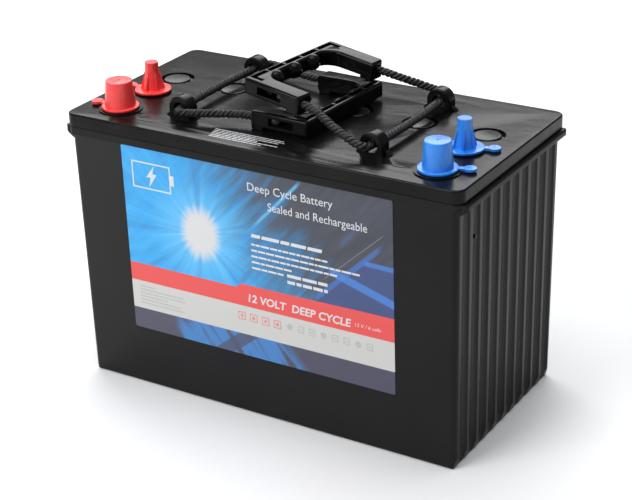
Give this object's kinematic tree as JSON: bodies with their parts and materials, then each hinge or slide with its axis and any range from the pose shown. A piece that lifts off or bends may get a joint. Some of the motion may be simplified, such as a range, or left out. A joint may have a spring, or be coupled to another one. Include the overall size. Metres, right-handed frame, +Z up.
{
  "type": "deep cycle battery",
  "caption": "Sealed lead-acid deep cycle battery with capped post and stud terminals, fluted ends and folding rope carry handles.",
  "frame": {"origin": "centre of the base, on the surface that the battery stands on", "axes": "+X along the length towards the negative terminals, -Y out of the labelled front, +Z up"},
  "size_m": [0.33, 0.166, 0.25],
  "materials": {
    "case_plastic": "satin moulded polypropylene",
    "lid_plastic": "glossy moulded polypropylene",
    "vent_plastic": "matt moulded polypropylene",
    "label_film": "glossy printed film",
    "cap_red": "soft glossy plastic",
    "cap_blue": "soft glossy plastic",
    "grip_plastic": "glossy moulded plastic",
    "rope_fibre": "laid synthetic rope",
    "lead": "dull cast lead",
    "stud_steel": "turned stainless steel",
    "valve_rubber": "matt rubber",
    "positive_plate": "pasted plate, dark brown",
    "negative_plate": "pasted plate, grey",
    "glass_mat": "white absorbent glass mat"
  },
  "bodies": {
    "battery": {"case": "case_plastic", "lid": "lid_plastic", "front_label": "label_film", "vent_cover_1": "vent_plastic", "vent_valve_1": "valve_rubber", "vent_cover_2": "vent_plastic", "vent_valve_2": "valve_rubber", "vent_cover_3": "vent_plastic", "vent_valve_3": "valve_rubber", "vent_cover_4": "vent_plastic", "vent_valve_4": "valve_rubber", "vent_cover_5": "vent_plastic", "vent_valve_5": "valve_rubber", "vent_cover_6": "vent_plastic", "vent_valve_6": "valve_rubber", "positive_terminal": "lead", "negative_terminal": "lead", "positive_stud": "stud_steel", "negative_stud": "stud_steel", "positive_plates_1": "positive_plate", "negative_plates_1": "negative_plate", "glass_mat_1": "glass_mat", "positive_plates_2": "positive_plate", "negative_plates_2": "negative_plate", "glass_mat_2": "glass_mat", "positive_plates_3": "positive_plate", "negative_plates_3": "negative_plate", "glass_mat_3": "glass_mat", "positive_plates_4": "positive_plate", "negative_plates_4": "negative_plate", "glass_mat_4": "glass_mat", "positive_plates_5": "positive_plate", "negative_plates_5": "negative_plate", "glass_mat_5": "glass_mat", "positive_plates_6": "positive_plate", "negative_plates_6": "negative_plate", "glass_mat_6": "glass_mat", "cell_weld_1": "lead", "cell_weld_2": "lead", "cell_weld_3": "lead", "cell_weld_4": "lead", "cell_weld_5": "lead"},
    "upper_handle": {"upper_grip": "grip_plastic", "upper_rope": "rope_fibre"},
    "lower_handle": {"lower_grip": "grip_plastic", "lower_rope": "rope_fibre"},
    "positive_post_cap": {"positive_post_cap": "cap_red"},
    "positive_stud_cap": {"positive_stud_cap": "cap_red"},
    "negative_post_cap": {"negative_post_cap": "cap_blue"},
    "negative_stud_cap": {"negative_stud_cap": "cap_blue"}
  },
  "joints": [
    {"name": "upper_handle_lift", "type": "hinge", "parent": "battery", "child": "upper_handle", "pos_m": [0.079, 0, 0.22], "axis": [0, 1, 0], "range_deg": [0, 105]},
    {"name": "lower_handle_lift", "type": "hinge", "parent": "battery", "child": "lower_handle", "pos_m": [-0.079, 0, 0.22], "axis": [0, -1, 0], "range_deg": [0, 63]},
    {"name": "positive_post_cap_pull", "type": "slide", "parent": "battery", "child": "positive_post_cap", "axis": [0, 0, 1], "range_m": [0, 0.03]},
    {"name": "positive_stud_cap_pull", "type": "slide", "parent": "battery", "child": "positive_stud_cap", "axis": [0, 0, 1], "range_m": [0, 0.03]},
    {"name": "negative_post_cap_pull", "type": "slide", "parent": "battery", "child": "negative_post_cap", "axis": [0, 0, 1], "range_m": [0, 0.03]},
    {"name": "negative_stud_cap_pull", "type": "slide", "parent": "battery", "child": "negative_stud_cap", "axis": [0, 0, 1], "range_m": [0, 0.03]}
  ],
  "couplings": [
    {"joint": "lower_handle_lift", "follows": "upper_handle_lift", "ratio": 0.6}
  ]
}
